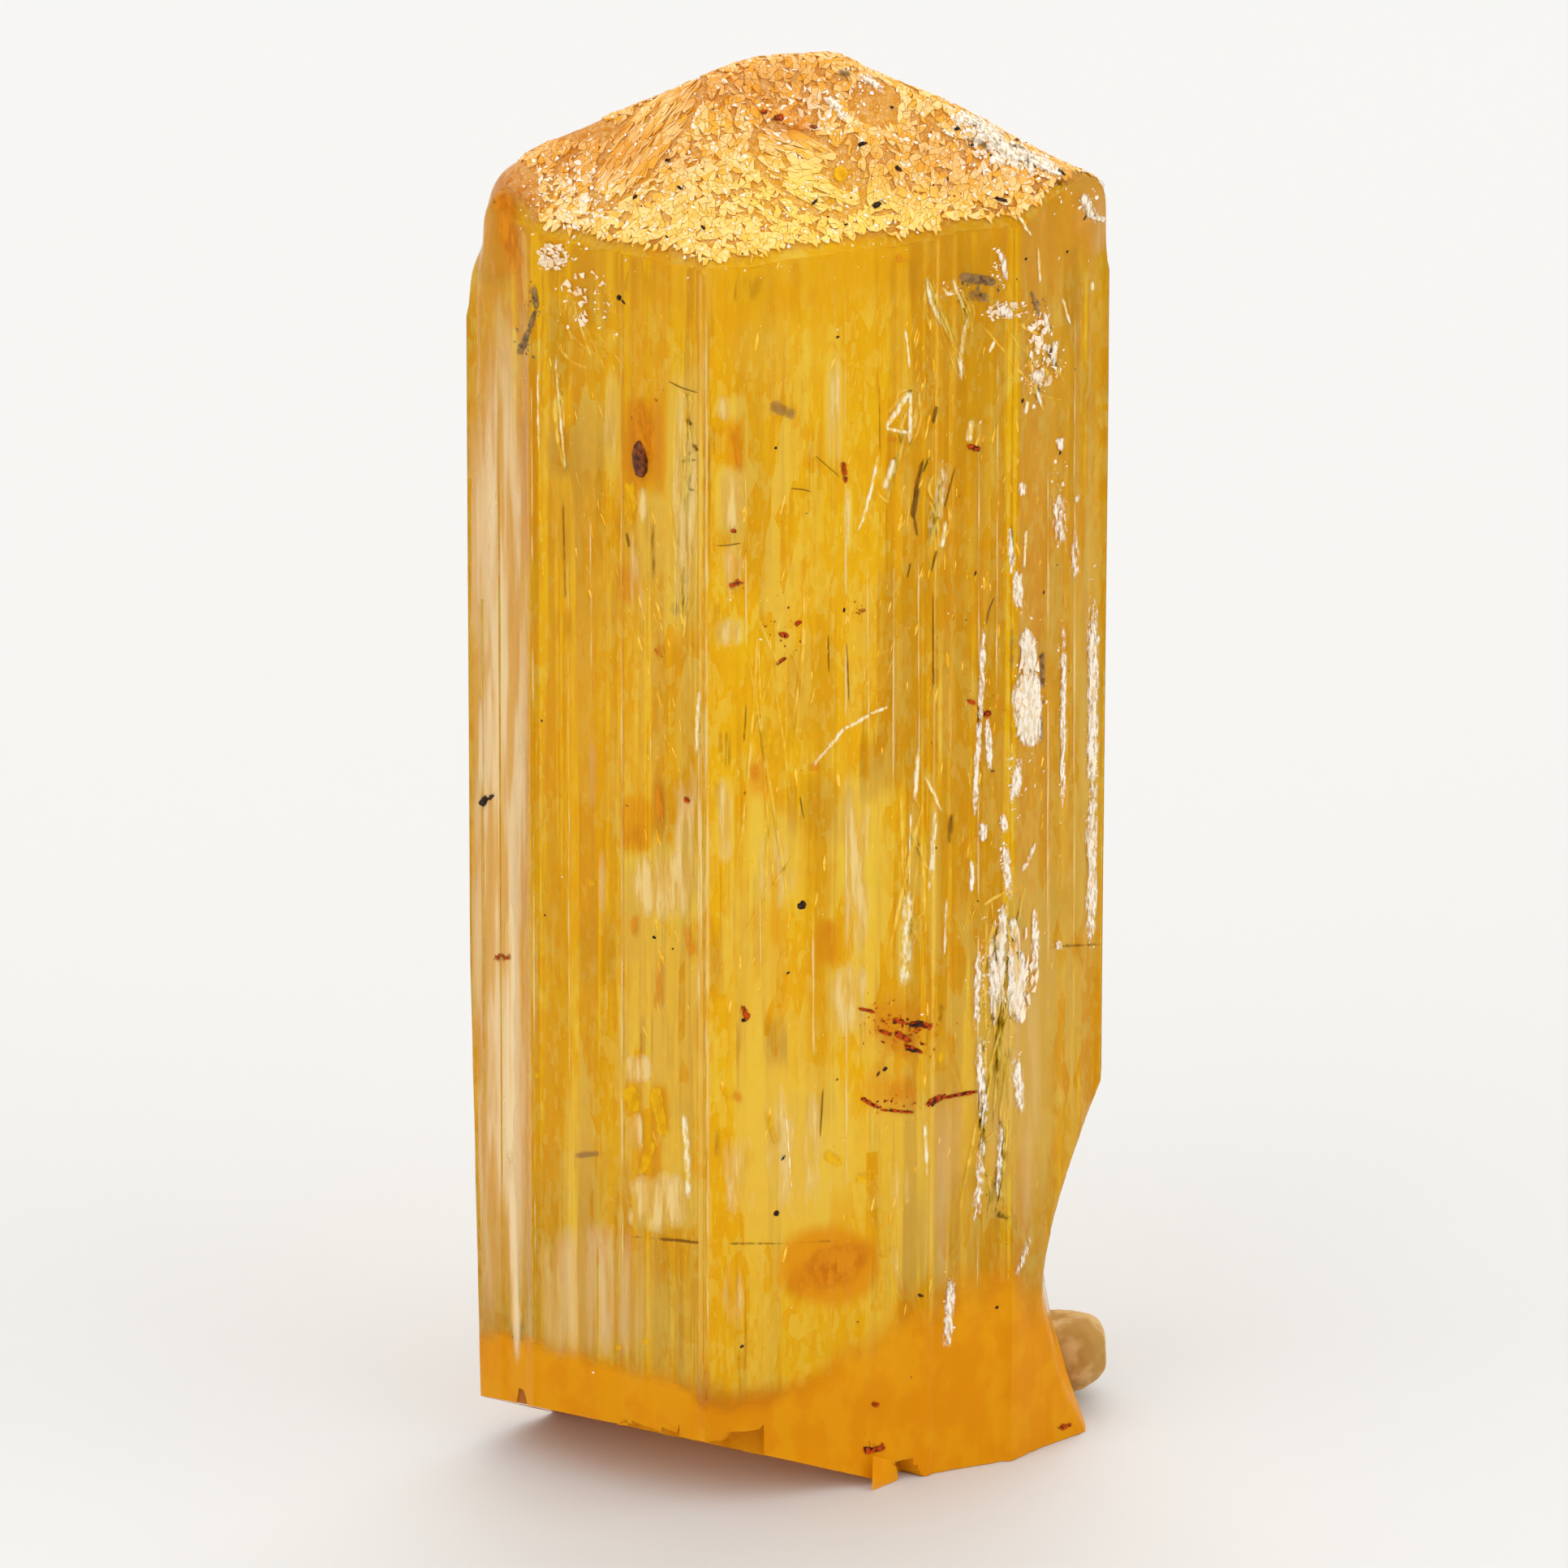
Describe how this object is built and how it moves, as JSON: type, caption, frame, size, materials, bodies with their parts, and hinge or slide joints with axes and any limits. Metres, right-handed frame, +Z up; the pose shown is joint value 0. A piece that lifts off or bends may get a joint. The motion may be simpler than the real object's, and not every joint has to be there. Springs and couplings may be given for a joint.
{
  "type": "topaz crystal",
  "caption": "Single golden topaz crystal: striated prism with a low etched pyramid, stepped broken base and a crumb of pale matrix at one corner.",
  "frame": {"origin": "centre of the outline, on the flat cleaved base that the crystal stands on", "axes": "+Z up along the crystal's c axis, +X along its b axis to the right of the front, -Y towards the front"},
  "size_m": [0.017, 0.011, 0.0397],
  "materials": {
    "topaz": "clear golden-orange crystal, vitreous, striated along its length, finely etched on the pyramid",
    "matrix": "dull beige kaolin matrix",
    "clay": "chalky white clay film in the grooves",
    "iron_stain": "red-brown iron oxide in cracks",
    "dark_mineral": "black to dark grey mineral specks",
    "inclusion": "sealed feathers, veils and fluid cavities, bright where they catch the light"
  },
  "bodies": {
    "root": {"topaz_crystal": "topaz", "matrix_crumb": "matrix"}
  },
  "joints": []
}
